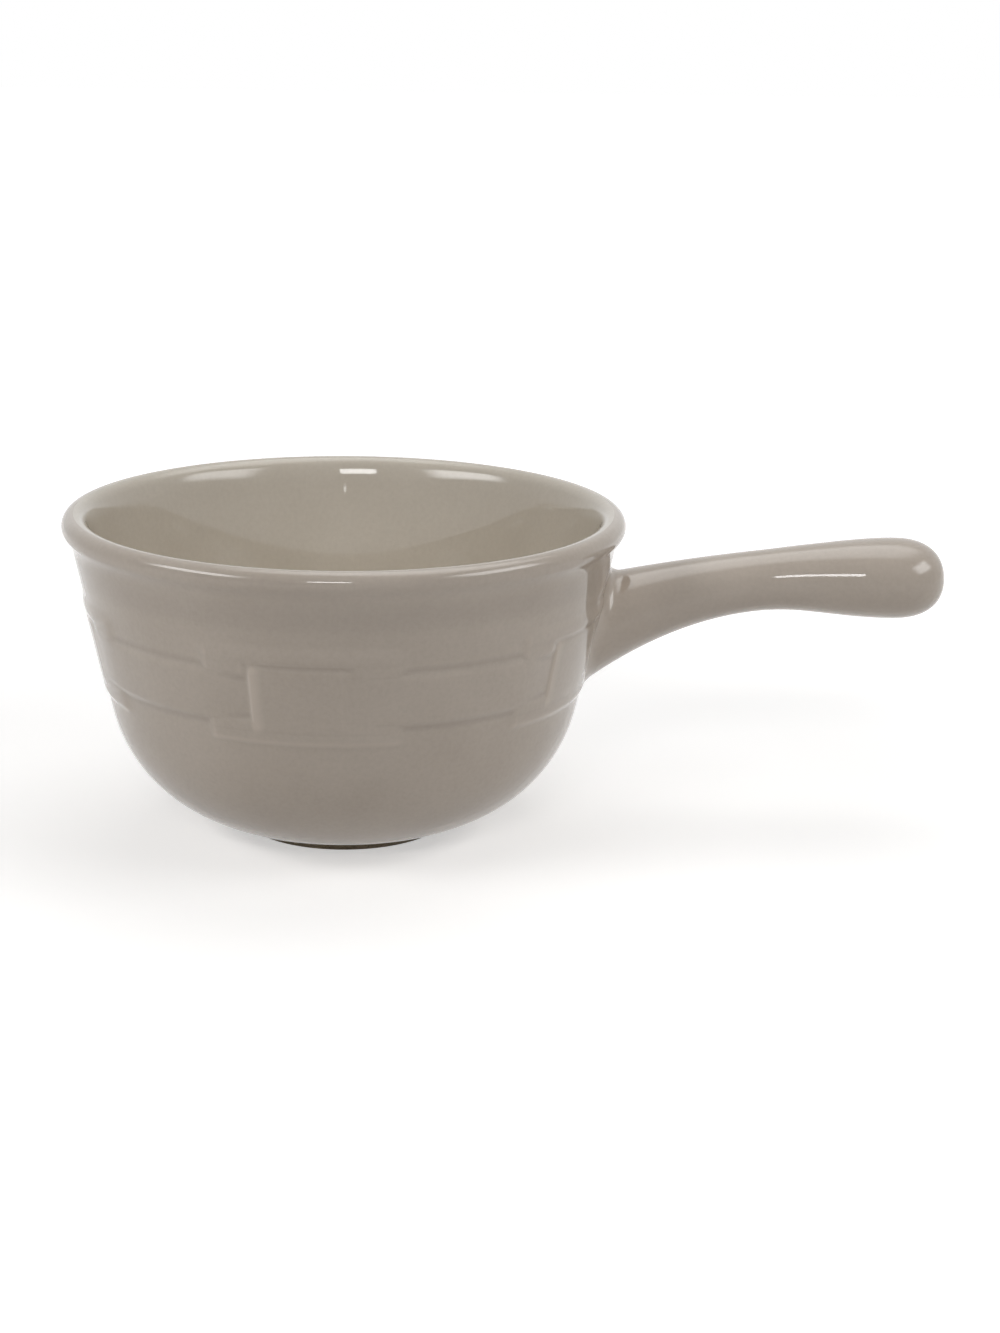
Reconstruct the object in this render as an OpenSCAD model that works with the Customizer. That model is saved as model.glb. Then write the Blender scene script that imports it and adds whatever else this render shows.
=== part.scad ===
// Glazed stoneware soup bowl with one stick handle and a basket-weave band.
// The origin is on the bowl's axis at the table, +Z is up and the handle points along +X.

/* [Bowl] */
// Outside diameter of the lip
rim_d = 140; // [126:1:160]
// Height from the table to the top of the lip
bowl_h = 81; // [76:1:92]
// How far the lip stands out beyond the wall below it
lip_flare = 3.3; // [2.4:0.1:4.4]
// Depth below the top of the lip at which the flare is measured
flare_drop = 12; // [10.5:0.5:14]
// Outer rounding of the lip
lip_r = 3; // [2.4:0.1:3.4]
// Radius of the hollow under the lip
cove_r = 9; // [7:0.5:13]
// Lean of the wall from upright, in degrees
wall_lean = 12.3; // [10:0.1:15]
// Thickness of the wall and of the floor, with both coats of glaze
wall_t = 5.4; // [4.6:0.1:6.6]
// Outer radius of the belly between the wall and the foot
belly_r = 37.5; // [33:0.5:41]

/* [Foot] */
// Outside diameter of the foot ring
foot_d = 52; // [46:1:60]
// Width of the foot ring
foot_w = 5; // [3.5:0.5:7]
// Height of the base above the table inside the foot ring
foot_h = 2.2; // [1.4:0.1:4]
// Bevel on the standing edges of the foot ring
foot_bevel = 0.5; // [0.2:0.1:0.8]

/* [Basket weave] */
// Number of upright staves round the wall, an even number
stave_count = 10; // [8:2:12]
// Turn of the first stave from the handle, in degrees
weave_turn = -27.5; // [-36:0.5:36]
// Depth of the middle of the weave below the top of the lip
weave_drop = 32; // [30:0.5:33.5]
// Height of the wide weaver
weaver_h = 12; // [10.5:0.5:13.5]
// Height of each narrow weaver
edging_h = 2.6; // [2:0.1:3.6]
// Gap between the wide weaver and each narrow one
weaver_gap = 2.6; // [2:0.1:3]
// Width of the stretch of wide weaver that stands proud
weaver_w = 33.5; // [26:0.5:36]
// Width of a stave where it crosses in front of the wide weaver
stave_w = 22.5; // [16:0.5:26]
// Width of the stretch of narrow weaver that stands proud
edging_w = 44; // [34:0.5:48]
// Height of the relief
relief = 0.8; // [0.4:0.1:1.2]
// Height of a stave below the top of the relief
stave_sink = 0.2; // [0.1:0.05:0.3]
// Height left of the wide weaver where it dips behind a stave
dip_h = 0.25; // [0.1:0.05:0.35]

/* [Handle] */
// Distance from the bowl's axis to the end of the handle
handle_reach = 151.3; // [140:0.5:170]
// Height of the handle where it meets the wall
root_h = 25; // [21:0.5:28]
// Height of the handle at its waist
waist_h = 15.2; // [14:0.1:18]
// Height of the handle at its grip
grip_h = 20.3; // [18:0.1:24]
// Distance from the wall to the waist
waist_run = 41; // [36:0.5:46]
// Length of the rounded end
cap_l = 13; // [11:0.5:16]
// Width of the handle for one unit of its height
handle_oval = 1.15; // [1:0.05:1.25]
// Depth of the middle of the root below the top of the lip
root_drop = 29.7; // [28:0.1:32]
// How far the middle of the handle climbs from the root to the grip
handle_rise = 12.2; // [9:0.1:14]
// Distance from the wall to where the climb ends
rise_run = 55; // [48:0.5:62]
// Thickness of the clay round the hollow of the handle
handle_t = 4; // [3.2:0.1:4.8]
// Diameter of the vent under the handle
vent_d = 2.4; // [1.6:0.1:3]
// Distance from the wall to the vent
vent_run = 20; // [16:0.5:26]

/* [Joint and glaze] */
// Thickness of the slip between the handle and the wall
slip_t = 0.8; // [0.4:0.1:1.2]
// Radius of the slip fillet round the root of the handle
fillet_r = 2.6; // [2:0.1:3.4]
// Thickness of each coat of glaze
glaze_t = 0.4; // [0.3:0.05:0.6]
// Gap between the glaze of the base and the foot ring
base_gap = 0.6; // [0.3:0.1:1]

/* [Hidden] */
$fn = 128;

clay_tint = [0.80, 0.74, 0.64];
slip_tint = [0.74, 0.69, 0.61];
glaze_tint = [0.70, 0.66, 0.60];
inside_tint = [0.74, 0.71, 0.64];

lean_tan = tan(wall_lean);
lean_cos = cos(wall_lean);
lean_sin = sin(wall_lean);
rim_r = rim_d / 2;
foot_r = foot_d / 2;
foot_in = foot_r - foot_w;
neck_z = bowl_h - flare_drop;
neck_r = rim_r - lip_flare;

// The finished wall is a cone, and the clay lies one coat of glaze inside it.
function wall_r(z) = neck_r + (z - neck_z) * lean_tan;
function clay_r(z) = wall_r(z) - glaze_t / lean_cos;

// The belly is an arc tangent to the wall, with its lowest point at the height of the base.
belly_z = foot_h + belly_r;
belly_x = wall_r(belly_z) - belly_r / lean_cos;

// The hollow under the lip is tangent to the wall and to the lip's round.
lip_x = rim_r - lip_r;
lip_z = bowl_h - lip_r;
cove_side = wall_r(lip_z) + cove_r / lean_cos - lip_x;
cove_a = 1 + lean_tan * lean_tan;
cove_b = 2 * cove_side * lean_tan;
cove_c = cove_side * cove_side - pow(lip_r + cove_r, 2);
cove_z = lip_z - (cove_b + sqrt(cove_b * cove_b - 4 * cove_a * cove_c)) / (2 * cove_a);
cove_x = wall_r(cove_z) + cove_r / lean_cos;
lip_turn = atan2(cove_z - lip_z, cove_x - lip_x);

// The inner round of the lip is tangent to the inside of the wall.
inner_room = lip_x - wall_r(bowl_h) + wall_t / lean_cos;
inner_r = inner_room * lean_cos / (1 - lean_sin);

function arc(x, z, r, from, to, steps) =
    [for (i = [0:steps]) let (a = from + (to - from) * i / steps) [x + r * cos(a), z + r * sin(a)]];
function backwards(list) = [for (i = [len(list) - 1:-1:0]) list[i]];
function foot_turn(depth) = -acos((foot_r - belly_x) / (belly_r - depth));

// Outline of the outside from the foot to the top of the lip, at a depth below the finished surface.
function outside(depth) = concat(
    arc(belly_x, belly_z, belly_r - depth, foot_turn(depth), -wall_lean, 24),
    arc(cove_x, cove_z, cove_r + depth, 180 - wall_lean, 180 + lip_turn, 8),
    arc(lip_x, lip_z, lip_r - depth, lip_turn, 90, 12));

// Outline of the inside from the top of the lip to the middle of the floor.
function inside(depth) = concat(
    arc(lip_x, bowl_h - inner_r, inner_r - depth, 90, 180 - wall_lean, 10),
    arc(belly_x, belly_z, belly_r - wall_t + depth, -wall_lean, -90, 24),
    [[0, belly_z - belly_r + wall_t - depth]]);

// The weave is panels on the wall, each a band of the cone between two heights and two turns.
weave_z = bowl_h - weave_drop;
weave_r = wall_r(weave_z);
weave_pitch = 360 / stave_count;
weave_root = 1;
function turn_of(width) = width / weave_r * 180 / PI;
function panel_line(low, high, proud, skin) =
    let (back = weave_root + glaze_t, out = (proud + skin - glaze_t) / lean_cos)
    let (z0 = low - skin, z1 = high + skin, slope = proud / 2)
    [[wall_r(z0) - back, z0], [wall_r(z0) + out - slope, z0], [wall_r(z0 + slope) + out, z0 + slope],
     [wall_r(z1 - slope) + out, z1 - slope], [wall_r(z1) + out - slope, z1], [wall_r(z1) - back, z1]];

module panel(turn, width, low, high, proud, skin) {
    half = turn_of(width / 2 + skin);
    rotate([0, 0, turn - half])
        rotate_extrude(angle = 2 * half)
            polygon(panel_line(low, high, proud, skin));
}

// One pair of staves: the narrow weavers pass over the first and the wide one passes over the second.
// The first stave runs on under the narrow weavers, and the wide one dips behind its edges.
module weave_pair(turn, skin) {
    low = weave_z - weaver_h / 2;
    high = weave_z + weaver_h / 2;
    stave_rise = weaver_gap + edging_h / 2;
    behind_w = 2 * weave_pitch / turn_of(1) - stave_w + 2 * dip_h;
    panel(turn, stave_w, low - stave_rise, high + stave_rise, relief - stave_sink, skin);
    panel(turn, edging_w, high + weaver_gap, high + weaver_gap + edging_h, relief, skin);
    panel(turn, edging_w, low - weaver_gap - edging_h, low - weaver_gap, relief, skin);
    panel(turn + weave_pitch, behind_w, low + dip_h, high - dip_h, dip_h, skin);
    panel(turn + weave_pitch, weaver_w, low, high, relief, skin);
}

module weave(skin) {
    for (i = [0:stave_count / 2 - 1])
        weave_pair(weave_turn + 2 * i * weave_pitch, skin);
}

// Handle: the half height along X, where grow is the distance outside the finished surface.
root_z = bowl_h - root_drop;
root_x = wall_r(root_z);
waist_x = root_x + waist_run;
grip_x = handle_reach - cap_l;
rise_x = root_x + rise_run;
cap_power = 2.4;
function ease(t) = t * t * (3 - 2 * t);
function stem(x) = x < waist_x
    ? waist_h / 2 + (root_h - waist_h) / 2 * pow((waist_x - x) / waist_run, 2)
    : waist_h / 2 + (grip_h - waist_h) / 2 * ease((x - waist_x) / (grip_x - waist_x));
function cap(x, grow) = pow(max(0, 1 - pow((x - grip_x) / (cap_l + grow), cap_power)), 1 / cap_power);
function half_size(x, grow, scale) = x < grip_x
    ? scale * stem(x) + grow
    : (scale * grip_h / 2 + grow) * cap(x, grow);
function mid_z(x) = root_z + handle_rise * (1 - pow(max(0, (rise_x - x) / rise_run), 2));
function on_handle(a, x, grow) =
    [x, half_size(x, grow, handle_oval) * cos(a), mid_z(x) + half_size(x, grow, 1) * sin(a)];

// Where the grown handle meets the clay of the wall, moved out along X by off.
function wall_x(p) = sqrt(pow(clay_r(p[2]), 2) - p[1] * p[1]);
function seat_x(a, off, grow, x, tries) =
    tries == 0 ? x : seat_x(a, off, grow, wall_x(on_handle(a, x, grow)) + off, tries - 1);
ring_sides = 48;
ring_turns = [for (i = [0:ring_sides - 1]) 360 * i / ring_sides];
function seat_ring(off, grow) =
    [for (a = ring_turns) on_handle(a, seat_x(a, off, grow, root_x, 9), grow)];

// Rings from a seat ring to the end of the handle, closer together on the rounded end.
stations = 18;
function run_rings(off, grow) =
    [for (i = [0:stations - 1])
        [for (a = ring_turns)
            let (x0 = seat_x(a, off, grow, root_x, 9))
            on_handle(a, x0 + (handle_reach + grow - x0) * sin(90 * i / stations), grow)]];
function end_point(grow) = [handle_reach + grow, 0, mid_z(handle_reach + grow)];

// Rings of the fillet from the wall to the handle, skin outside the slip.
fillet_steps = 5;
function fillet_rings(skin) =
    [for (i = [fillet_steps - 1:-1:1])
        let (a = 90 * i / fillet_steps, r = fillet_r - skin)
        seat_ring(fillet_r - r * sin(a), fillet_r - glaze_t - r * cos(a))];
joint_ring = seat_ring(0, fillet_r - glaze_t);
joint_skin_ring = [for (p = joint_ring) p + [glaze_t, 0, 0]];
hollow_grow = -glaze_t - handle_t;

// Triangles between two rings, given by the numbers of their first points.
function side_faces(first, second) =
    [for (j = [0:ring_sides - 1], half = [0, 1])
        let (k = (j + 1) % ring_sides)
        half == 0 ? [first + j, second + j, second + k] : [first + j, second + k, first + k]];

// A closed skin from one end point through the rings to the other end point.
module cup(first_point, rings, last_point) {
    count = len(rings);
    top = count * ring_sides;
    polyhedron(
        points = concat([for (ring = rings, p = ring) p], [first_point, last_point]),
        faces = concat(
            [for (j = [0:ring_sides - 1]) [top, j, (j + 1) % ring_sides]],
            [for (i = [0:count - 2], f = side_faces(i * ring_sides, (i + 1) * ring_sides)) f],
            [for (j = [0:ring_sides - 1])
                [top - ring_sides + j, top + 1, top - ring_sides + (j + 1) % ring_sides]]));
}

// A closed hoop whose last ring joins its first.
module hoop(rings) {
    count = len(rings);
    polyhedron(
        points = [for (ring = rings, p = ring) p],
        faces = [for (i = [0:count - 1], f = side_faces(i * ring_sides, ((i + 1) % count) * ring_sides)) f]);
}

// The patch of wall under the joint, as a prism along X.
module joint_patch() {
    rotate([90, 0, 90])
        translate([0, 0, root_x / 2])
            linear_extrude(root_x)
                polygon([for (p = joint_ring) [p[1], p[2]]]);
}

module vent() {
    translate([root_x + vent_run, 0, root_z - root_h])
        cylinder(d = vent_d, h = root_h + mid_z(root_x + vent_run) - root_z);
}

module bowl_body() {
    color(clay_tint) {
        rotate_extrude()
            polygon(concat(
                [[foot_r - foot_bevel, 0], [foot_r, foot_bevel]],
                outside(glaze_t),
                [for (i = [1:len(inside(glaze_t)) - 1]) inside(glaze_t)[i]],
                [[0, foot_h + glaze_t], [foot_in, foot_h + glaze_t], [foot_in, foot_bevel], [foot_in + foot_bevel, 0]]));
        difference() {
            weave(0);
            joint_patch();
        }
    }
}

module inside_glaze() {
    color(inside_tint)
        rotate_extrude()
            polygon(concat(inside(0), backwards(inside(glaze_t))));
}

module outside_glaze() {
    clay_edge = outside(glaze_t);
    color(glaze_tint)
        difference() {
            union() {
                rotate_extrude()
                    polygon(concat(outside(0), [[foot_r, bowl_h]]));
                weave(glaze_t);
            }
            rotate_extrude()
                polygon(concat(clay_edge, [[lip_x, bowl_h + 1], [0, bowl_h + 1], [0, clay_edge[0][1]]]));
            weave(0);
            joint_patch();
        }
}

module base_glaze() {
    color(glaze_tint)
        translate([0, 0, foot_h])
            cylinder(r = foot_in - base_gap, h = glaze_t);
}

module handle_body() {
    color(clay_tint)
        difference() {
            cup(
                end_point(hollow_grow),
                concat(
                    backwards(run_rings(slip_t, hollow_grow)),
                    [seat_ring(slip_t, -glaze_t)],
                    run_rings(fillet_r, -glaze_t)),
                end_point(-glaze_t));
            vent();
        }
}

module handle_slip() {
    color(slip_tint)
        hoop(concat(
            [seat_ring(slip_t, hollow_grow), seat_ring(0, hollow_grow), joint_ring],
            fillet_rings(0),
            [seat_ring(fillet_r, -glaze_t), seat_ring(slip_t, -glaze_t)]));
}

module handle_glaze() {
    color(glaze_tint)
        difference() {
            cup(
                end_point(-glaze_t),
                concat(
                    backwards(run_rings(fillet_r, -glaze_t)),
                    backwards(fillet_rings(0)),
                    [joint_ring, joint_skin_ring],
                    fillet_rings(glaze_t),
                    run_rings(fillet_r, 0)),
                end_point(0));
            vent();
        }
}

bowl_body();
inside_glaze();
outside_glaze();
base_glaze();
handle_body();
handle_slip();
handle_glaze();
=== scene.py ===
# %% [markdown]
# # A handled soup bowl in its glaze
# The real object is two pieces of fired stoneware, a bowl and a hollow stick handle, joined with slip
# and dipped in glaze. The imported CAD model already holds the clay, the slip and plain coats of glaze.
# This lesson keeps the clay and the slip, and models each coat of glaze again with the soft edges that
# melted glass has. The frame comes first.

# %% Load the imported frame
import math
import bpy
from mathutils import Matrix, Vector


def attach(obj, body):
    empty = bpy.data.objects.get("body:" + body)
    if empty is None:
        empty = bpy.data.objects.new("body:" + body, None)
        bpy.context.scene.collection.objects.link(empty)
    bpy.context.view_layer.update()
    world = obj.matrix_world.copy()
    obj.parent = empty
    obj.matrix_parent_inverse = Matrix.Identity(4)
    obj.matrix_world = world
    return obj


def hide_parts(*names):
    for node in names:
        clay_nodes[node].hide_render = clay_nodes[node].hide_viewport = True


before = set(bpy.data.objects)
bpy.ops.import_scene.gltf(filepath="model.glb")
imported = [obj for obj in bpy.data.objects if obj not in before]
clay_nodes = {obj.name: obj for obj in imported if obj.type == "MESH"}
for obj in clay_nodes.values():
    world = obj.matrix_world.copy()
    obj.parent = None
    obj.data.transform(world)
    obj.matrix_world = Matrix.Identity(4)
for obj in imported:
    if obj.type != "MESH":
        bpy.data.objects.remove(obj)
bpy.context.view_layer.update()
print("nodes:", sorted(clay_nodes))

# %% [markdown]
# ## The sizes of the bowl
# A potter works from a drawing, and so does this script. These are the sizes of the bowl's profile in
# metres: the lip, the wall that leans out, the belly and the foot. The arcs of the coats are worked out
# from them, so that the glaze lies on the clay of the frame.

# %% Sizes of the profile
mm = 0.001
rim_r = 70 * mm
bowl_h = 81 * mm
lip_r = 3 * mm
cove_r = 9 * mm
belly_r = 37.5 * mm
wall_t = 5.4 * mm
foot_r = 26 * mm
foot_h = 2.2 * mm
glaze_t = 0.4 * mm
lean = math.radians(12.3)
neck_r = rim_r - 3.3 * mm
neck_z = bowl_h - 12 * mm


def wall_r(z):
    """Radius of the finished wall at a height."""
    return neck_r + (z - neck_z) * math.tan(lean)


belly_z = foot_h + belly_r
belly_x = wall_r(belly_z) - belly_r / math.cos(lean)
lip_x = rim_r - lip_r
lip_z = bowl_h - lip_r
print("belly centre in mm:", round(belly_x / mm, 2), round(belly_z / mm, 2))

# %% [markdown]
# The hollow under the lip is an arc that touches both the wall and the round of the lip. Where its centre
# lies follows from those two touches, which is a small quadratic. The inner lip needs the same sum later, so
# it is a function.

# %% Centre of the hollow under the lip


def drop_to_touch(side, reach):
    """How far an arc's centre lies below another centre, if the arc also touches the leaning wall.

    The two centres are reach apart, and side is how far outside the other the arc's centre would lie if
    both were at one height.
    """
    quad_a = 1 + math.tan(lean) ** 2
    quad_b = 2 * side * math.tan(lean)
    quad_c = side ** 2 - reach ** 2
    return (quad_b + math.sqrt(quad_b ** 2 - 4 * quad_a * quad_c)) / (2 * quad_a)


cove_side = wall_r(lip_z) + cove_r / math.cos(lean) - lip_x
cove_z = lip_z - drop_to_touch(cove_side, lip_r + cove_r)
cove_x = wall_r(cove_z) + cove_r / math.cos(lean)
lip_turn = math.atan2(cove_z - lip_z, cove_x - lip_x)
print("hollow under the lip in mm:", round(cove_x / mm, 2), round(cove_z / mm, 2))

# %% [markdown]
# ## Helpers for working by hand
# Operators act on whatever is selected, and loading the frame leaves its nodes selected. So every piece
# starts by letting go of everything. The other helpers do what a modeller does again and again: take one
# piece in hand, apply a modifier, weld seams, thicken a skin, smooth it and see how large it is.

# %% Take a piece in hand


def let_go():
    """Leave edit mode and deselect every object."""
    if bpy.context.object and bpy.context.object.mode != "OBJECT":
        bpy.ops.object.mode_set(mode="OBJECT")
    bpy.ops.object.select_all(action="DESELECT")


def work_on(piece):
    """Make a piece the only selected and the active one."""
    let_go()
    piece.select_set(True)
    bpy.context.view_layer.objects.active = piece


def apply_last(piece):
    """Apply the modifier that was added last."""
    work_on(piece)
    bpy.ops.object.modifier_apply(modifier=piece.modifiers[-1].name)


# %% Work on a skin
weld_reach = 0.002 * mm


def weld_seams():
    """In edit mode, merge points that lie on each other, turn the faces outward and leave."""
    bpy.ops.mesh.select_all(action="SELECT")
    bpy.ops.mesh.remove_doubles(threshold=weld_reach)
    bpy.ops.mesh.normals_make_consistent(inside=False)
    bpy.ops.object.mode_set(mode="OBJECT")


def thicken(piece):
    """Give a skin the thickness of the glaze with Solidify, behind its faces."""
    coat = piece.modifiers.new("coat", "SOLIDIFY")
    coat.thickness = glaze_t
    coat.offset = -1
    coat.use_even_offset = True
    apply_last(piece)


def smooth(piece, degrees):
    """Smooth shading that keeps edges sharper than an angle."""
    work_on(piece)
    bpy.ops.object.shade_smooth_by_angle(angle=math.radians(degrees))


def tell(piece):
    """Print how much mesh a piece has and where it lies."""
    corners = [v.co for v in piece.data.vertices]
    low = [round(min(c[i] for c in corners) / mm, 2) for i in range(3)]
    high = [round(max(c[i] for c in corners) / mm, 2) for i in range(3)]
    triangles = sum(len(p.vertices) - 2 for p in piece.data.polygons)
    print(piece.name, "triangles:", triangles, "box in mm:", low, high)


print("seams are welded within", round(weld_reach / mm, 3), "mm")

# %% [markdown]
# ## Turning a profile
# A bowl like this is shaped by a template against a turning mould. The same is done here: one point is
# pulled along the outline by extruding it again and again, and the line is spun once round the axis. A
# stack of scaled cylinders would do it too, but the spun line keeps the arcs of the drawing exactly.

# %% Turn an outline into a skin


def arc(x, z, r, start, end, steps):
    """Points on an arc in the plane of the profile, both ends included."""
    turns = [start + (end - start) * i / steps for i in range(steps + 1)]
    return [(x + r * math.cos(t), z + r * math.sin(t)) for t in turns]


def turn_outline(name, outline, columns):
    """Pull one point along an outline and spin the line into a skin."""
    let_go()
    bpy.ops.mesh.primitive_plane_add(size=mm, location=(0, 0, 0))
    piece = bpy.context.object
    piece.name = name
    bpy.ops.object.mode_set(mode="EDIT")
    bpy.ops.mesh.select_all(action="SELECT")
    bpy.ops.mesh.merge(type="CENTER")
    here = (0.0, 0.0)
    for step, there in enumerate(outline):
        move = (there[0] - here[0], 0, there[1] - here[1])
        if step == 0:
            bpy.ops.transform.translate(value=move)
        else:
            bpy.ops.mesh.extrude_region_move(TRANSFORM_OT_translate={"value": move})
        here = there
    bpy.ops.mesh.select_all(action="SELECT")
    bpy.ops.mesh.spin(steps=columns, angle=2 * math.pi, center=(0, 0, 0), axis=(0, 0, 1))
    weld_seams()
    return piece


# %% [markdown]
# ## The outside coat of glaze
# The outside runs from the foot up the belly and the leaning wall, through the hollow under the lip and
# over the round of the lip to its top. The rows lie closer together where the basket weave comes, because
# its edges are only a millimetre or two wide.

# %% Outline of the outside
foot_turn = -math.acos((foot_r - belly_x) / belly_r)
belly_line = arc(belly_x, belly_z, belly_r, foot_turn, -lean, steps=22)
cove_line = arc(cove_x, cove_z, cove_r, math.pi - lean, math.pi + lip_turn, steps=8)
lip_line = arc(lip_x, lip_z, lip_r, lip_turn, math.pi / 2, steps=12)
wall_low, wall_high = belly_line[-1][1], cove_line[0][1]
band_low, band_high = 34.6 * mm, 63.6 * mm
rows_below, band_rows, rows_above = 3, 48, 5
heights = [wall_low + (band_low - wall_low) * i / rows_below for i in range(1, rows_below)]
heights += [band_low + (band_high - band_low) * i / band_rows for i in range(band_rows + 1)]
heights += [band_high + (wall_high - band_high) * i / rows_above for i in range(1, rows_above)]
wall_line = [(wall_r(z), z) for z in heights]
outside_line = belly_line + wall_line + cove_line + lip_line[1:]
outside_columns = 450
glaze_outside = turn_outline("glaze_outside", outside_line, outside_columns)
tell(glaze_outside)

# %% [markdown]
# ## The basket weave
# The band imitates a basket: upright staves, one wide weaver that passes behind every second stave, and a
# narrow edging above and below that passes over those staves. The wide weaver comes out level with a front
# stave on its right and dips under the next one, so only the left edge of a stave is a crisp step. On the
# real bowl all this is moulded in the clay and then softened by the glaze, which also gathers in the grooves
# beside the edgings and nearly fills the lower one. Booleans would leave hard steps. So the height of the
# weave is written as a formula with soft edges, kept as weights in a vertex group, and a Displace modifier
# raises the wall by it.

# %% Sizes of the weave
weave_z = bowl_h - 32 * mm
weave_r = wall_r(weave_z)
weave_turn = math.radians(-27.5)
pitch = math.radians(36)
front_staves = round(math.pi / pitch)
weaver_h = 12 * mm
weaver_w = 33.5 * mm
weaver_gap = 2.6 * mm
edging_h = 2.6 * mm
edging_w = 44 * mm
stave_w = 22.5 * mm
stave_edge = stave_w / 2 + glaze_t
proud_edge = pitch * weave_r - weaver_w / 2
relief = 0.72 * mm
edging_up = 0.6 * mm
stave_up = 0.6 * mm
level_h = 0.5 * mm
dip_h = 0.08 * mm
print("staves in front of the weaver:", front_staves)

# %% [markdown]
# Melted glaze rounds every edge, but not all of them alike. A run is the width over which an edge rises, and
# a lap is how far a strip reaches past its edge in the clay. The fills say how full of glaze the grooves are
# above and below the weaver.

# %% Soft edges of the weave
crisp_run = 1.2 * mm
edge_run = 2.4 * mm
side_run = 3 * mm
fade_run = 3.6 * mm
end_run = 5 * mm
groove_run = 2 * mm
soften_run = 1 * mm
short_above, short_below = 0.4 * mm, 0.3 * mm
climb_more = 1.5 * mm
lap_near, lap_above, lap_below = 0.2 * mm, 0.8 * mm, 0.3 * mm
lap_left, lap_right = 1 * mm, 2 * mm
fill_above, fill_below = 0.5, 0.93
fill_run, fill_lap = 2 * mm, 0.5 * mm


def clamp(t):
    """Keep a share between 0 and 1."""
    return min(1.0, max(0.0, t))


def ease(t):
    """From 0 to 1 with a soft start and a soft end."""
    t = clamp(t)
    return t * t * (3 - 2 * t)


def inside_edge(distance, run):
    """From 0 outside to 1 inside, softly, over the run of an edge."""
    return ease(0.5 + distance / run)


print("edges rise over", round(crisp_run / mm, 1), "to", round(end_run / mm, 1), "mm")

# %% Heights of a stave and of the wide weaver


def from_stave(turn):
    """The turn from the middle of the nearest front stave, below 0 on its left."""
    return (turn - weave_turn + pitch) % (2 * pitch) - pitch


def stave_height(across, past, left, upper):
    """A front stave: crisp on its left where it crosses the weaver, soft elsewhere."""
    run = crisp_run if left else side_run
    run += (side_run - run) * ease(past / soften_run)
    end = weaver_gap - (short_above if upper else short_below)
    return stave_up * inside_edge(stave_edge - across, run) * inside_edge(end - past, groove_run)


def weaver_height(across, past, left):
    """The wide weaver, which climbs from the side of a front stave to its full height."""
    start = dip_h if left else level_h
    climb = ease((across - stave_edge) / (proud_edge + climb_more - stave_edge))
    return (start + (relief - start) * climb) * inside_edge(glaze_t - past, edge_run)


# %% Height of an edging and of the glaze beside it


def edging_height(across, past, left, upper):
    """An edging, or the glaze in the groove beside it where that stands higher."""
    beyond = past - weaver_gap
    lap, run = (lap_above, fade_run) if upper else (lap_below, groove_run)
    span = inside_edge(beyond + lap_near, groove_run) * inside_edge(edging_h + lap - beyond, run)
    lap, run = (lap_left, edge_run) if left else (lap_right, end_run)
    end = inside_edge(edging_w / 2 + lap - across, run)
    fill = fill_below
    if upper:
        fill = fill_above + (1 - fill_above) * ease((across - stave_edge) / fill_run)
    groove = inside_edge(past + fill_lap, groove_run) * inside_edge(fill_lap - beyond, groove_run)
    return max(edging_up * span * end, fill * edging_up * groove * end)


# %% Height of the weave at a place on the wall


def weave_height(turn, z):
    """How far the weave stands out of the wall at a turn round the axis and a height."""
    away = from_stave(turn)
    across = abs(away) * weave_r
    past = abs(z - weave_z) - weaver_h / 2
    left, upper = away < 0, z > weave_z
    stave = stave_height(across, past, left, upper)
    weaver = weaver_height(across, past, left)
    edging = edging_height(across, past, left, upper)
    return max(stave, weaver, edging)


print("a front stave stands out by", round(weave_height(weave_turn, weave_z) / mm, 2), "mm")

# %% Draw the columns together at the crisp edges
crisp_turn = weave_turn - stave_edge / weave_r
draw = 0.12
for point in glaze_outside.data.vertices:
    x, y, z = point.co
    turn = math.atan2(y, x)
    turn -= draw * math.sin(front_staves * (turn - crisp_turn))
    point.co = (math.hypot(x, y) * math.cos(turn), math.hypot(x, y) * math.sin(turn), z)
apart = 2 * math.pi * weave_r / outside_columns * (1 - front_staves * draw)
print("columns at a crisp edge are", round(apart / mm, 2), "mm apart")

# %% Raise the weave
weave_group = glaze_outside.vertex_groups.new(name="weave")
raised = 0
for point in glaze_outside.data.vertices:
    x, y, z = point.co
    if band_low < z < band_high:
        height = weave_height(math.atan2(y, x), z)
        weave_group.add([point.index], height / relief, "REPLACE")
        raised += height > 0.5 * relief
raise_weave = glaze_outside.modifiers.new("weave", "DISPLACE")
raise_weave.direction = "NORMAL"
raise_weave.mid_level = 0
raise_weave.strength = relief
raise_weave.vertex_group = "weave"
apply_last(glaze_outside)
print("points raised by more than half:", raised)

# %% Give the outside its thickness
thicken(glaze_outside)
smooth(glaze_outside, degrees=40)
tell(glaze_outside)

# %% [markdown]
# ## The inside coat of glaze
# The inside starts where the outside stops, at the top of the lip. Glaze runs thin over an edge, so the
# inner round is two arcs: a small crest, and a long gentle flare that runs into the wall and catches the
# light as a broad stroke. Below it come the wall, the belly and the flat floor, where spinning closes a
# pole. The visible side of this skin looks into the bowl, so its faces are turned that way first.

# %% Crest and flare of the inner lip
crest_r = 3.5 * mm
flare_r = 20 * mm
crest_z = bowl_h - crest_r
flare_side = wall_r(crest_z) + (flare_r - wall_t) / math.cos(lean) - lip_x
flare_drop = drop_to_touch(flare_side, flare_r - crest_r)
flare_z = crest_z - flare_drop
flare_lean = math.asin(flare_drop / (flare_r - crest_r))
flare_x = lip_x + (flare_r - crest_r) * math.cos(flare_lean)
inner_lip = arc(lip_x, crest_z, crest_r, math.pi / 2, math.pi - flare_lean, steps=9)
inner_lip += arc(flare_x, flare_z, flare_r, math.pi - flare_lean, math.pi - lean, steps=8)[1:]
print("the flare leans out to", round(math.degrees(flare_lean), 1), "degrees")

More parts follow.
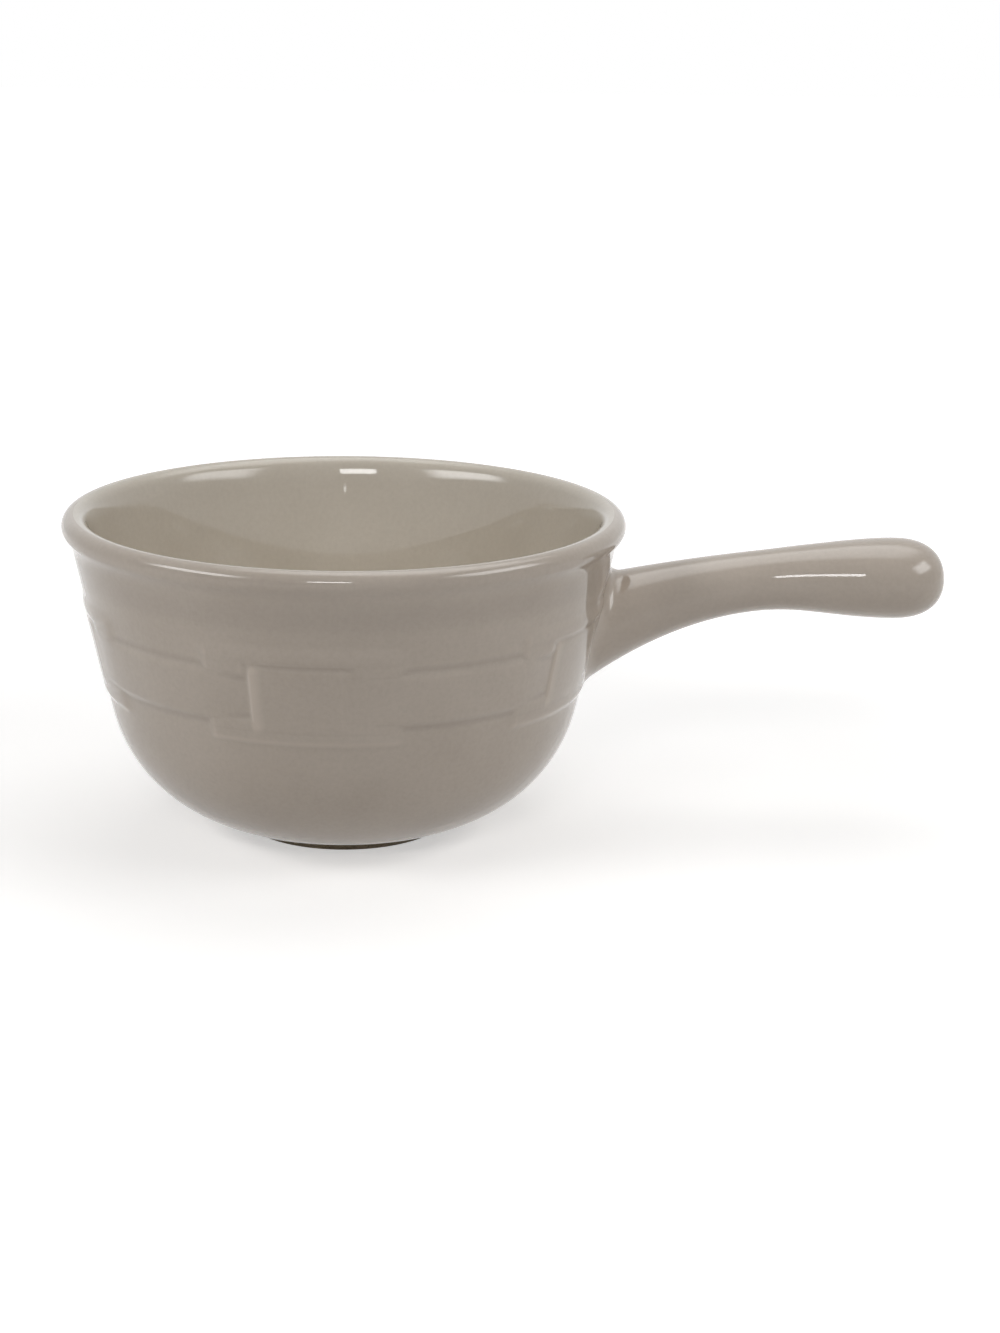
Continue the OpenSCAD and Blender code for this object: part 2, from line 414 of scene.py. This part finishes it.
# %% Turn the inside
inner_belly = arc(belly_x, belly_z, belly_r - wall_t, -lean, -math.pi / 2, steps=26)
wall_top, wall_foot = inner_lip[-1], inner_belly[0]
inner_rows = 14
inner_wall = []
for i in range(1, inner_rows):
    t = i / inner_rows
    inner_wall.append([top + (foot - top) * t for top, foot in zip(wall_top, wall_foot)])
floor_z = inner_belly[-1][1]
inner_floor = [(belly_x * t, floor_z) for t in (0.75, 0.5, 0.25, 0.08, 0.0)]
inside_line = inner_lip + inner_wall + inner_belly + inner_floor
inside_columns = 360
glaze_inside = turn_outline("glaze_inside", inside_line, inside_columns)
tell(glaze_inside)

# %% Face the inside into the bowl


def floor_looks_up():
    """Whether the face nearest the axis looks up, into the bowl."""
    middle = min(glaze_inside.data.polygons, key=lambda face: face.center.to_2d().length)
    return middle.normal.z > 0


if not floor_looks_up():
    work_on(glaze_inside)
    bpy.ops.object.mode_set(mode="EDIT")
    bpy.ops.mesh.select_all(action="SELECT")
    bpy.ops.mesh.flip_normals()
    bpy.ops.object.mode_set(mode="OBJECT")
print("the floor's faces look up:", floor_looks_up())
thicken(glaze_inside)
smooth(glaze_inside, degrees=40)
tell(glaze_inside)

# %% [markdown]
# ## The coat of glaze on the handle
# The handle is a stick with an oval section: wide at the wall, narrow at the waist, full at the grip, with
# a rounded end. A ring is extruded along it and scaled at each step, and the last ring is merged into the
# tip. These are the sizes that give its height, its width and the line of its middle.

# %% Sizes of the handle
handle_reach = 151.3 * mm
root_h, waist_h, grip_h = 25 * mm, 15.2 * mm, 20.3 * mm
waist_run, rise_run = 41 * mm, 55 * mm
cap_l, cap_power = 13 * mm, 2.4
handle_oval = 1.15
handle_rise = 12.2 * mm
root_z = bowl_h - 29.7 * mm
root_x = wall_r(root_z)
waist_x = root_x + waist_run
grip_x = handle_reach - cap_l


def half_height(x):
    """Half the height of the handle at a distance from the axis."""
    if x < waist_x:
        return waist_h / 2 + (root_h - waist_h) / 2 * ((waist_x - x) / waist_run) ** 2
    if x < grip_x:
        return waist_h / 2 + (grip_h - waist_h) / 2 * ease((x - waist_x) / (grip_x - waist_x))
    along = clamp((x - grip_x) / cap_l)
    return grip_h / 2 * (1 - along ** cap_power) ** (1 / cap_power)


def middle_z(x):
    """Height of the middle of the handle."""
    left = max(0.0, (root_x + rise_run - x) / rise_run)
    return root_z + handle_rise * (1 - left * left)


print("handle from", round(root_x / mm, 1), "to", round(handle_reach / mm, 1), "mm")

# %% Extrude the handle from its first flat ring to the tip
first_x = 73 * mm
ring_r = 1 * mm
stem_rings, cap_rings, ring_sides = 22, 14, 96
stations = [first_x + (grip_x - first_x) * i / stem_rings for i in range(stem_rings + 1)]
cap_turns = [math.pi / 2 * i / cap_rings for i in range(1, cap_rings)]
stations += [grip_x + cap_l * math.sin(t) ** (2 / cap_power) for t in cap_turns]
let_go()
bpy.ops.mesh.primitive_circle_add(
    vertices=ring_sides, radius=ring_r, fill_type="NOTHING",
    location=(first_x, 0, middle_z(first_x)), rotation=(0, math.pi / 2, 0))
glaze_handle = bpy.context.object
glaze_handle.name = "glaze_handle"
bpy.ops.object.transform_apply(location=True, rotation=True, scale=True)
bpy.ops.object.mode_set(mode="EDIT")
bpy.ops.mesh.select_all(action="SELECT")


def scale_ring(x, wider, taller):
    """Scale the selected ring in its own plane."""
    bpy.ops.transform.resize(value=(1, wider, taller), center_override=(x, 0, middle_z(x)))


tall = half_height(first_x)
scale_ring(first_x, tall * handle_oval / ring_r, tall / ring_r)
for before, after in zip(stations, stations[1:]):
    move = (after - before, 0, middle_z(after) - middle_z(before))
    bpy.ops.mesh.extrude_region_move(TRANSFORM_OT_translate={"value": move})
    next_tall = half_height(after)
    scale_ring(after, next_tall / tall, next_tall / tall)
    tall = next_tall
tip_move = (handle_reach - stations[-1], 0, 0)
bpy.ops.mesh.extrude_region_move(TRANSFORM_OT_translate={"value": tip_move})
bpy.ops.mesh.merge(type="CENTER")
bpy.ops.object.mode_set(mode="OBJECT")
tell(glaze_handle)

# %% [markdown]
# At the wall the handle needs a soft fillet, and the wall there is round and leans. Flat rings can't lie on
# it. So the first ring is extruded back towards the wall in small steps, and then each of these rings is
# seated: every point slides along the handle until it lies at its own distance from the wall. The rings of
# the fillet also grow, along a quarter of a circle, so that the last one runs out flat on the wall. Glaze
# gathers under the lip, so the fillet is larger above the handle than below it.

# %% Extrude the rings of the root
fillet_steps = 8
root_rings = [("stem", share) for share in (0.72, 0.45, 0.2)]
root_rings += [("fillet", math.radians(90 * i / fillet_steps)) for i in range(fillet_steps + 1)]
root_rings += [("tuck", 0.0)]
back_step = 0.25 * mm
near_enough = 0.01 * mm
work_on(glaze_handle)
points = glaze_handle.data.vertices
for point in points:
    point.select = abs(point.co.x - first_x) < near_enough
for edge in glaze_handle.data.edges:
    edge.select = all(points[i].select for i in edge.vertices)
for face in glaze_handle.data.polygons:
    face.select = False
bpy.ops.object.mode_set(mode="EDIT")
for _ in root_rings:
    bpy.ops.mesh.extrude_region_move(TRANSFORM_OT_translate={"value": (-back_step, 0, 0)})
bpy.ops.object.mode_set(mode="OBJECT")
print("rings at the root:", len(root_rings))

# %% Seat the rings of the root on the wall
seat_tries = 12
fillet_mean, fillet_more = 3.6 * mm, 1 * mm
tuck_in, tuck_out = 0.25 * mm, 0.3 * mm


def seat(turn, off, grow):
    """Where the handle, grown by some, lies at a distance off the clay of the wall."""
    x = root_x
    for _ in range(seat_tries):
        tall = half_height(x)
        y = (tall * handle_oval + grow) * math.cos(turn)
        z = middle_z(x) + (tall + grow) * math.sin(turn)
        clay = wall_r(z) - glaze_t / math.cos(lean)
        x = math.sqrt(clay ** 2 - y ** 2) + off
    return x, y, z


def root_point(kind, value, turn):
    """The seat of one point of a ring: on the stem, on the fillet or tucked into the wall."""
    fillet_r = fillet_mean + fillet_more * math.sin(turn)
    arc_r = fillet_r - glaze_t
    if kind == "fillet":
        return seat(turn, fillet_r - arc_r * math.sin(value), arc_r - arc_r * math.cos(value))
    if kind == "tuck":
        return seat(turn, glaze_t - tuck_in, arc_r + tuck_out)
    near = seat(turn, fillet_r, 0)[0]
    x = near + (first_x - near) * value
    tall = half_height(x)
    return x, tall * handle_oval * math.cos(turn), middle_z(x) + tall * math.sin(turn)


# %% Move the points of the root to their seats
first_tall = half_height(first_x)
for point in glaze_handle.data.vertices:
    number = round((first_x - point.co.x) / back_step)
    if number > 0:
        kind, value = root_rings[number - 1]
        up = (point.co.z - middle_z(first_x)) / first_tall
        out = point.co.y / (first_tall * handle_oval)
        point.co = root_point(kind, value, math.atan2(up, out))
work_on(glaze_handle)
bpy.ops.object.mode_set(mode="EDIT")
weld_seams()
tell(glaze_handle)

# %% [markdown]
# A closed hollow would burst in the kiln, so the handle has a small vent underneath, which the clay in the
# frame has too. The skin of glaze gets its thickness first. Then a pin is subtracted from it with a
# Boolean, which leaves a clean round edge.

# %% Thickness and vent of the handle
thicken(glaze_handle)
vent_x = root_x + 20 * mm
vent_z = middle_z(vent_x) - half_height(vent_x)
vent_r = 1.2 * mm
pin_l = 16 * mm
let_go()
bpy.ops.mesh.primitive_cylinder_add(vertices=40, radius=vent_r, depth=pin_l, location=(vent_x, 0, vent_z))
vent_pin = bpy.context.object
bpy.ops.object.transform_apply(location=True, rotation=True, scale=True)
vent_cut = glaze_handle.modifiers.new("vent", "BOOLEAN")
vent_cut.operation = "DIFFERENCE"
vent_cut.solver = "EXACT"
vent_cut.object = vent_pin
apply_last(glaze_handle)
bpy.data.objects.remove(vent_pin)
smooth(glaze_handle, degrees=40)
tell(glaze_handle)

# %% [markdown]
# ## The glaze on the base
# Inside the foot ring the base is glazed too, and stays clear of the ring, which is wiped dry so that it
# doesn't stick to the kiln shelf. It is a thin disc, inset a few times so that it can sag a little towards
# the middle, with a rounded edge where the melted glaze drew back.

# %% Disc of the base
base_r = 20.4 * mm
insets_and_sags = ((0.15, 0.0), (0.25, 0.06), (1.2, 0.05), (5.0, 0.03), (6.0, 0.02))
let_go()
bpy.ops.mesh.primitive_cylinder_add(
    vertices=144, radius=base_r, depth=glaze_t, location=(0, 0, foot_h + glaze_t / 2))
glaze_base = bpy.context.object
glaze_base.name = "glaze_base"
bpy.ops.object.transform_apply(location=True, rotation=True, scale=True)
for face in glaze_base.data.polygons:
    face.select = face.normal.z < -0.9
bpy.ops.object.mode_set(mode="EDIT")
bpy.ops.mesh.select_mode(type="FACE")
for inset, sag in insets_and_sags:
    bpy.ops.mesh.inset(thickness=inset * mm, depth=0)
    bpy.ops.transform.translate(value=(0, 0, -sag * mm))
bpy.ops.mesh.select_mode(type="VERT")
bpy.ops.object.mode_set(mode="OBJECT")
smooth(glaze_base, degrees=50)
tell(glaze_base)

# %% [markdown]
# ## The finish of the glaze
# The glaze is a glossy, warm grey ivory. It is melted glass, so it is smooth but never quite even: its
# colour drifts a little. Beside the weave it is darker in the hollows, partly where glaze pools and partly
# as painted shade, and the darker band under the lip is painted shade. The paler ridges, the paler lower
# edge of the weave and the paler crisp side of each stave are painted highlights. Inside the bowl the same
# glaze is set lighter, as painted light for the brighter inside. This could be painted by hand, but the
# formula of the weave already knows its hollows. So a float attribute stores the pooling, the painted shade
# and the painted highlights at each point, and noise gives the drift, the fine mottle and a faint ripple in
# the gloss.

# %% Where highlights are painted on the weave
edging_low = weave_z - weaver_h / 2 - weaver_gap - edging_h
edge_probe = 1.5 * mm
# Painted highlights on the lower edge of the weave and beside the crisp side of each stave: strength and
# width.
edge_highlight, edge_highlight_run = 0.34 * mm, 1.1 * mm
stave_highlight = 0.42 * mm
side_rise, side_flat, side_fall = 1 * mm, 1 * mm, 3 * mm


def lower_edge_highlight(turn, z):
    """From 0 to 1 on the lower edge of the weave, where an edging stands out above it and a highlight is
    painted.
    """
    edge = weave_height(turn, edging_low + edge_probe) / edging_up
    return edge * (1 - ease(abs(z - edging_low) / edge_highlight_run))


def stave_side_highlight(turn, z):
    """From 0 to 1 beside the crisp left edge of a front stave, where a highlight is painted."""
    inward = from_stave(turn) * weave_r + stave_edge
    tall = inside_edge(weaver_h / 2 + weaver_gap - abs(z - weave_z), groove_run)
    return tall * inside_edge(inward, side_rise) * (1 - ease((inward - side_flat) / side_fall))


print("the lower edge of the weave is at", round(edging_low / mm, 1), "mm")

# %% Where the glaze pools, with painted shade and painted highlights
hollow_reach = 1.5 * mm
ridge_reach = 0.8 * mm / weave_r
# Strength of the painted highlights on ridges, along the wall and round it.
ridge_share, round_share = 0.3, 2
full_depth = 0.5 * relief
# Painted shade under the lip: its strength, and how it rises and falls with height.
lip_shade_share, lip_rise, lip_fall = 0.5, 5 * mm, 4 * mm


def pool_and_painted_light(turn, z):
    """Above 0 in the hollows of the weave, where glaze pools and shade is painted; below 0 where highlights
    are painted on its ridges and edges.
    """
    height = weave_height(turn, z)
    # Darker in the hollows: partly glaze that pools there, partly painted shade.
    hollow = (weave_height(turn, z + hollow_reach) + weave_height(turn, z - hollow_reach)) / 2 - height
    beyond = abs(z - weave_z) > weaver_h / 2 + weaver_gap + edging_h / 2
    if hollow < 0 or beyond:
        hollow = ridge_share * min(0.0, hollow)
    ridge_highlight = (weave_height(turn + ridge_reach, z) + weave_height(turn - ridge_reach, z)) / 2 - height
    # The paler ridges and edges are painted highlights.
    painted_highlight = edge_highlight * lower_edge_highlight(turn, z) + stave_highlight * stave_side_highlight(turn, z)
    return (hollow + round_share * min(0.0, ridge_highlight) - painted_highlight) / full_depth


def painted_shade_under_lip(z):
    """Painted shade: a darker band in the hollow under the lip."""
    return lip_shade_share * ease((z - band_high) / lip_rise) * ease((lip_z - lip_r - z) / lip_fall)


# %% Store the pooling, the painted shade and the painted highlights at each point
pool_and_light_values = []
for point in glaze_outside.data.vertices:
    x, y, z = point.co
    in_band = band_low < z < band_high
    pool_and_light_values.append(pool_and_painted_light(math.atan2(y, x), z) if in_band else painted_shade_under_lip(z))
pool_and_light_layer = glaze_outside.data.attributes.new("pool_and_painted_light", "FLOAT", "POINT")
pool_and_light_layer.data.foreach_set("value", pool_and_light_values)
print("pooling from", round(min(pool_and_light_values), 2), "to", round(max(pool_and_light_values), 2))

# %% An empty finish


def new_finish(name):
    """An empty node material with its shader, its output and object coordinates."""
    finish = bpy.data.materials.new(name)
    finish.use_nodes = True
    nodes = finish.node_tree.nodes
    nodes.clear()
    output = nodes.new("ShaderNodeOutputMaterial")
    shader = nodes.new("ShaderNodeBsdfPrincipled")
    finish.node_tree.links.new(shader.outputs["BSDF"], output.inputs["Surface"])
    place = nodes.new("ShaderNodeTexCoord")
    return finish, shader, place.outputs["Object"]


# %% Nodes for a finish


def add_noise(finish, place, scale, detail, rough):
    """Noise in object space, as a factor around one half."""
    noise = finish.node_tree.nodes.new("ShaderNodeTexNoise")
    noise.inputs["Scale"].default_value = scale
    noise.inputs["Detail"].default_value = detail
    noise.inputs["Roughness"].default_value = rough
    finish.node_tree.links.new(place, noise.inputs["Vector"])
    return noise.outputs["Fac"]


def add_range(finish, value, low, high, new_low, new_high):
    """Stretch a factor to a new range."""
    node = finish.node_tree.nodes.new("ShaderNodeMapRange")
    node.inputs["From Min"].default_value = low
    node.inputs["From Max"].default_value = high
    node.inputs["To Min"].default_value = new_low
    node.inputs["To Max"].default_value = new_high
    finish.node_tree.links.new(value, node.inputs["Value"])
    return node.outputs["Result"]


def add_mix(finish, factor, first, second):
    """Mix two colours, each a socket or a plain colour."""
    node = finish.node_tree.nodes.new("ShaderNodeMix")
    node.data_type = "RGBA"
    finish.node_tree.links.new(factor, node.inputs[0])
    for socket, colour in ((node.inputs[6], first), (node.inputs[7], second)):
        if isinstance(colour, bpy.types.NodeSocket):
            finish.node_tree.links.new(colour, socket)
        else:
            socket.default_value = (*colour, 1)
    return node.outputs[2]


def add_bump(finish, height, strength, distance, shader):
    """A bump on the shader's normal."""
    node = finish.node_tree.nodes.new("ShaderNodeBump")
    node.inputs["Strength"].default_value = strength
    node.inputs["Distance"].default_value = distance
    finish.node_tree.links.new(height, node.inputs["Height"])
    finish.node_tree.links.new(node.outputs["Normal"], shader.inputs["Normal"])


# %% The glossy glaze
# Colour factors for the hollows, darker by pooled glaze and painted shade, and for the painted highlights.
pool_and_painted_shade, highlight_tint = 0.82, 1.1
glaze_ior = 1.52


def make_glaze(name, body, pale, deep, pools_and_painted_light):
    """Glaze with a drifting colour, a fine mottle and, on the outside, pooling with painted shade and
    painted highlights on edges.
    """
    finish, shader, place = new_finish(name)
    drift = add_noise(finish, place, scale=38, detail=3, rough=0.5)
    colour = add_mix(finish, add_range(finish, drift, 0.3, 0.7, 0, 1), body, pale)
    mottle = add_noise(finish, place, scale=900, detail=2, rough=0.6)
    colour = add_mix(finish, add_range(finish, mottle, 0.35, 0.75, 0, 0.22), colour, deep)
    if pools_and_painted_light:
        pool_and_light_input = finish.node_tree.nodes.new("ShaderNodeAttribute")
        pool_and_light_input.attribute_name = "pool_and_painted_light"
        # The hollows and the band under the lip turn darker: pooled glaze and painted shade.
        hollow = add_range(finish, pool_and_light_input.outputs["Fac"], 0.08, 0.75, 0, 0.32)
        colour = add_mix(finish, hollow, colour, tuple(pool_and_painted_shade * part for part in deep))
        # The ridges and edges turn paler: painted highlight.
        ridge_highlight = add_range(finish, pool_and_light_input.outputs["Fac"], -0.1, -1.3, 0, 1.0)
        colour = add_mix(finish, ridge_highlight, colour, tuple(highlight_tint * part for part in pale))
    finish.node_tree.links.new(colour, shader.inputs["Base Color"])
    gloss = add_noise(finish, place, scale=120, detail=2, rough=0.5)
    gloss = add_range(finish, gloss, 0.3, 0.7, 0.032, 0.055)
    finish.node_tree.links.new(gloss, shader.inputs["Roughness"])
    shader.inputs["IOR"].default_value = glaze_ior
    ripple = add_noise(finish, place, scale=160, detail=2, rough=0.5)
    add_bump(finish, ripple, strength=0.03, distance=0.1 * mm, shader=shader)
    return finish


# %% Glaze for the outside and the inside
outside_finish = make_glaze(
    "warm grey ivory glaze", body=(0.463, 0.396, 0.331), pale=(0.500, 0.433, 0.367),
    deep=(0.355, 0.300, 0.248), pools_and_painted_light=True)
# The inside is the same glaze set lighter: painted light for the brighter inside of the bowl.
lit_inside_finish = make_glaze(
    "warm ivory glaze", body=(0.560, 0.504, 0.422), pale=(0.600, 0.544, 0.460),
    deep=(0.448, 0.392, 0.318), pools_and_painted_light=False)
print("glazes:", outside_finish.name, "and", lit_inside_finish.name)

# %% [markdown]
# ## The finish of the clay
# Bare stoneware shows only on the standing edge of the foot and through the vent. It is a buff, sandy
# body: dry, a little rough, with fine dark grains. The slip of the joint is the same clay, finer and a
# little greyer, so one function makes both.

# %% Dry fired clay


def make_clay(name, body, pale, grain, grit):
    """Dry fired clay with a drift of colour, dark grains and a sandy surface."""
    finish, shader, place = new_finish(name)
    drift = add_noise(finish, place, scale=90, detail=4, rough=0.6)
    colour = add_mix(finish, add_range(finish, drift, 0.3, 0.7, 0, 1), body, pale)
    specks = add_noise(finish, place, scale=2200, detail=1, rough=0.5)
    colour = add_mix(finish, add_range(finish, specks, 0.62, 0.74, 0, 0.6), colour, grain)
    finish.node_tree.links.new(colour, shader.inputs["Base Color"])
    dry = add_noise(finish, place, scale=400, detail=2, rough=0.5)
    dry = add_range(finish, dry, 0.3, 0.7, 0.75, 0.92)
    finish.node_tree.links.new(dry, shader.inputs["Roughness"])
    sand = add_noise(finish, place, scale=1600, detail=3, rough=0.6)
    add_bump(finish, sand, strength=0.35, distance=grit, shader=shader)
    return finish


# %% Clay for the body and the joint
clay_finish = make_clay(
    "bare stoneware", body=(0.54, 0.45, 0.33), pale=(0.62, 0.53, 0.41),
    grain=(0.25, 0.18, 0.12), grit=0.12 * mm)
slip_finish = make_clay(
    "fired slip", body=(0.50, 0.43, 0.34), pale=(0.56, 0.49, 0.40),
    grain=(0.30, 0.24, 0.18), grit=0.05 * mm)
print("clays:", clay_finish.name, "and", slip_finish.name)

# %% [markdown]
# ## Putting the pieces on the frame
# Each coat of glaze stands for its plain CAD coat and rides on the one body of the part. The clay and the
# slip of the frame stay, and only get their finish.

# %% Hand each piece to the frame


def set_finish(piece, finish):
    """Give a piece one finish and no other."""
    piece.data.materials.clear()
    piece.data.materials.append(finish)


def put_on(piece, node, finish):
    """Give a piece its finish, and let it stand for a CAD node."""
    set_finish(piece, finish)
    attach(piece, "root")
    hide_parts(node)
    print(piece.name, "stands for", node)


# %% Put on the coats and the clay
put_on(glaze_outside, "outside_glaze", outside_finish)
put_on(glaze_inside, "inside_glaze", lit_inside_finish)
put_on(glaze_handle, "handle_glaze", outside_finish)
put_on(glaze_base, "base_glaze", outside_finish)
set_finish(clay_nodes["bowl_body"], clay_finish)
set_finish(clay_nodes["handle_body"], clay_finish)
set_finish(clay_nodes["handle_slip"], slip_finish)
print("the frame keeps its own bowl_body, handle_body and handle_slip")

# %% [markdown]
# ## Floor and light
# The bowl stands on a plain white floor in a white room, which shows as the pale edges of the wall. For the
# camera the room is plain white, and the floor keeps the soft shadow. A large soft box overhead lights it
# all, and one on each side gives the broad strokes on the lip. These could be plain rectangles, but gloss
# would show their hard edges, so they fade outward. A plain strip in front gives the short dashes on the
# lip and the thin line on the handle, and stands far off to keep them narrow. A tiny lamp beside the camera
# gives the small glint inside.

# %% Rays that see the white room


def seen_rays(tree):
    """1 for the rays that show the room: straight, mirrored and through glass."""
    ray = tree.nodes.new("ShaderNodeLightPath")
    total = ray.outputs["Is Camera Ray"]
    for kind in ("Is Glossy Ray", "Is Transmission Ray"):
        larger = tree.nodes.new("ShaderNodeMath")
        larger.operation = "MAXIMUM"
        tree.links.new(total, larger.inputs[0])
        tree.links.new(ray.outputs[kind], larger.inputs[1])
        total = larger.outputs[0]
    return total


# %% Floor
let_go()
bpy.ops.mesh.primitive_plane_add(size=6, location=(0, 0, 0))
floor = bpy.context.object
floor.name = "floor"
print("floor is", round(floor.dimensions.x, 1), "m wide")

# %% Finish of the floor
glow_near, glow_far = 0.5, 1.0
near_edge, far_edge = 0.15, 0.85
floor_finish = bpy.data.materials.new("white floor")
floor_finish.use_nodes = True
tree = floor_finish.node_tree
tree.nodes.clear()
floor_out = tree.nodes.new("ShaderNodeOutputMaterial")
floor_matt = tree.nodes.new("ShaderNodeBsdfDiffuse")
floor_matt.inputs["Color"].default_value = (0.80, 0.79, 0.78, 1)
floor_glow = tree.nodes.new("ShaderNodeEmission")
floor_place = tree.nodes.new("ShaderNodeTexCoord")
floor_far = tree.nodes.new("ShaderNodeVectorMath")
floor_far.operation = "LENGTH"
tree.links.new(floor_place.outputs["Object"], floor_far.inputs[0])
level = add_range(floor_finish, floor_far.outputs["Value"], near_edge, far_edge, glow_near, glow_far)
floor_share = tree.nodes.new("ShaderNodeMath")
floor_share.operation = "MULTIPLY"
tree.links.new(seen_rays(tree), floor_share.inputs[0])
tree.links.new(level, floor_share.inputs[1])
tree.links.new(floor_share.outputs[0], floor_glow.inputs["Strength"])
floor_sum = tree.nodes.new("ShaderNodeAddShader")
tree.links.new(floor_matt.outputs[0], floor_sum.inputs[0])
tree.links.new(floor_glow.outputs[0], floor_sum.inputs[1])
tree.links.new(floor_sum.outputs[0], floor_out.inputs["Surface"])
floor.data.materials.append(floor_finish)
print("the floor glows from", glow_near, "under the bowl to", glow_far, "far off")

# %% White room
room_fill, room_white = 0.04, 1.0
room = bpy.data.worlds.new("white room")
bpy.context.scene.world = room
room.use_nodes = True
tree = room.node_tree
tree.nodes.clear()
room_out = tree.nodes.new("ShaderNodeOutputWorld")
room_light = tree.nodes.new("ShaderNodeBackground")
room_light.inputs["Color"].default_value = (1, 1, 1, 1)
level = add_range(room, seen_rays(tree), 0, 1, room_fill, room_white)
tree.links.new(level, room_light.inputs["Strength"])
tree.links.new(room_light.outputs[0], room_out.inputs["Surface"])
print("light from the room:", room_fill)

# %% A soft box


def soft_box(name, place, target, width, height, power):
    """A rectangular lamp that looks at a point, in metres and watts."""
    lamp = bpy.data.lights.new(name, "AREA")
    lamp.shape = "RECTANGLE"
    lamp.size = width
    lamp.size_y = height
    lamp.energy = power
    holder = bpy.data.objects.new(name, lamp)
    bpy.context.scene.collection.objects.link(holder)
    holder.location = place
    aim = Vector(target) - Vector(place)
    holder.rotation_euler = aim.to_track_quat("-Z", "Y").to_euler()
    return holder


# %% Cloth that fades towards its edges
lamp_middle, fade_width = 0.5, 0.3


def fade_edges(holder):
    """Let a soft box fade towards its edges, as the cloth of a real one does."""
    holder.data.use_nodes = True
    tree = holder.data.node_tree
    glow = next(node for node in tree.nodes if node.type == "EMISSION")
    cloth = tree.nodes.new("ShaderNodeNewGeometry")
    split = tree.nodes.new("ShaderNodeSeparateXYZ")
    tree.links.new(cloth.outputs["Parametric"], split.inputs[0])
    fade = tree.nodes.new("ShaderNodeMath")
    fade.operation = "MULTIPLY"
    for number, axis in enumerate("XY"):
        inward = tree.nodes.new("ShaderNodeMath")
        inward.operation = "PINGPONG"
        inward.inputs[1].default_value = lamp_middle
        tree.links.new(split.outputs[axis], inward.inputs[0])
        rise = tree.nodes.new("ShaderNodeMapRange")
        rise.interpolation_type = "SMOOTHSTEP"
        rise.inputs["From Max"].default_value = fade_width
        tree.links.new(inward.outputs[0], rise.inputs["Value"])
        tree.links.new(rise.outputs["Result"], fade.inputs[number])
    tree.links.new(fade.outputs[0], glow.inputs["Strength"])


# %% Lamps
fade_edges(soft_box("overhead box", (0.14, 0.30, 0.96), (0, 0, 0.04), 1.2, 1.0, 7.7))
fade_edges(soft_box("left box", (-0.61, -0.285, 0.50), (0, 0, 0.05), 0.68, 0.29, 4.3))
fade_edges(soft_box("right box", (0.61, -0.24, 0.52), (0, 0, 0.05), 0.66, 0.38, 3.8))
soft_box("front strip", (-0.28, -2.6, 1.58), (0.01, 0, 0.06), 0.83, 0.40, 12.0)
soft_box("camera lamp", (0.005, -0.66, 0.24), (0, 0, 0.06), 0.012, 0.004, 0.003)

# %% [markdown]
# ## Camera
# The camera stands where the photograph's outlines put it: two thirds of a metre away, a little above the
# bowl, and turned so that the whole handle fits.

# %% Camera
stand = Vector((0.00451, -0.650, 0.22213))
target = Vector((0.03919, 0, 0.04007))
roll = 0.0149
lens = bpy.data.cameras.new("camera")
lens.sensor_width = 36
lens.sensor_fit = "AUTO"
lens.lens = 71.88
lens.clip_start = 0.01
camera = bpy.data.objects.new("camera", lens)
bpy.context.scene.collection.objects.link(camera)
look = (target - stand).to_track_quat("-Z", "Y").to_matrix().to_4x4()
camera.matrix_world = Matrix.Translation(stand) @ look @ Matrix.Rotation(roll, 4, "Z")
bpy.context.scene.camera = camera
bpy.context.scene.view_settings.view_transform = "Standard"
print("camera at", [round(c, 3) for c in stand])
